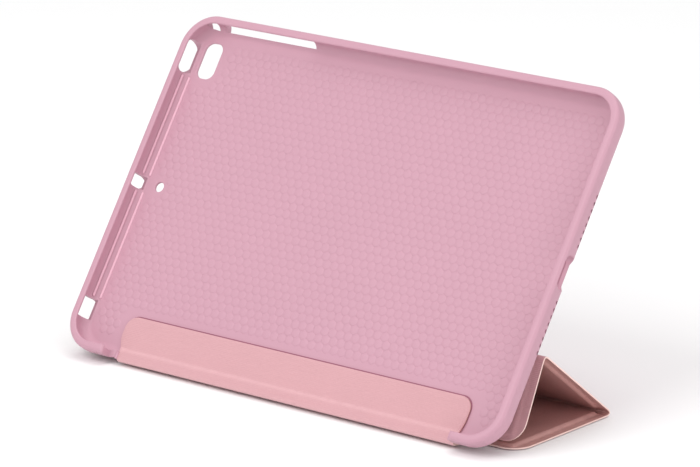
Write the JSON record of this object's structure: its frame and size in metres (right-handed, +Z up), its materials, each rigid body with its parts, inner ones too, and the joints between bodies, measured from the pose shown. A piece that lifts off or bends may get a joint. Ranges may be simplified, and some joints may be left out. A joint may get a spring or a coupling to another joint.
{
  "type": "tablet case",
  "caption": "Folding tablet case: soft moulded tray with a laminated three-panel cover folded behind it as a triangular stand.",
  "frame": {"origin": "middle of the underside of the panel that lies on the table", "axes": "+X along the tray's long side, to the right seen from the front; +Y rearward; +Z up"},
  "size_m": [0.2084, 0.0842, 0.1207],
  "materials": {
    "soft_shell": "satin moulded thermoplastic rubber",
    "leather_skin": "smooth coated leather cloth",
    "microfibre_lining": "fine cross-grained microfibre",
    "stiffener_board": "plain fibre board",
    "magnet": "nickel plated",
    "glue_film": "translucent adhesive"
  },
  "bodies": {
    "tray": {"tray": "soft_shell", "tab_adhesive": "glue_film", "tab_skin": "leather_skin", "tab_lining": "microfibre_lining"},
    "spine": {"spine_skin": "leather_skin", "spine_board": "stiffener_board", "spine_lining": "microfibre_lining", "tab_bend_skin": "leather_skin", "tab_bend_lining": "microfibre_lining"},
    "ground_panel": {"ground_skin": "leather_skin", "ground_board": "stiffener_board", "ground_lining": "microfibre_lining", "ground_magnets": "magnet", "spine_fold_skin": "leather_skin", "spine_fold_lining": "microfibre_lining"},
    "rear_panel": {"rear_skin": "leather_skin", "rear_board": "stiffener_board", "rear_lining": "microfibre_lining", "rear_magnets": "magnet", "tip_fold_skin": "leather_skin", "tip_fold_lining": "microfibre_lining"},
    "front_panel": {"front_skin": "leather_skin", "front_board": "stiffener_board", "front_lining": "microfibre_lining", "front_magnets": "magnet", "ridge_fold_skin": "leather_skin", "ridge_fold_lining": "microfibre_lining"}
  },
  "joints": [
    {"name": "tab_fold", "type": "hinge", "parent": "tray", "child": "spine", "pos_m": [0, -0.03687, 0.00236], "axis": [-1, 0, 0], "range_deg": [0, 209.4], "deforming": ["tab_bend_skin", "tab_bend_lining"]},
    {"name": "spine_fold", "type": "hinge", "parent": "spine", "child": "ground_panel", "pos_m": [0, -0.0283, 0.0016], "axis": [-1, 0, 0], "range_deg": [0, 95.1], "deforming": ["spine_fold_skin", "spine_fold_lining"]},
    {"name": "tip_fold", "type": "hinge", "parent": "ground_panel", "child": "rear_panel", "pos_m": [0, 0.0283, 0.0016], "axis": [-1, 0, 0], "range_deg": [0, 142.5], "deforming": ["tip_fold_skin", "tip_fold_lining"]},
    {"name": "ridge_fold", "type": "hinge", "parent": "rear_panel", "child": "front_panel", "pos_m": [0, -0.01053, 0.03148], "axis": [-1, 0, 0], "range_deg": [0, 102.6], "deforming": ["ridge_fold_skin", "ridge_fold_lining"]}
  ],
  "couplings": [
    {"joint": "spine_fold", "follows": "tab_fold", "ratio": 0.45374},
    {"joint": "tip_fold", "follows": "tab_fold", "ratio": 0.67994},
    {"joint": "ridge_fold", "follows": "tab_fold", "ratio": 0.48931}
  ]
}
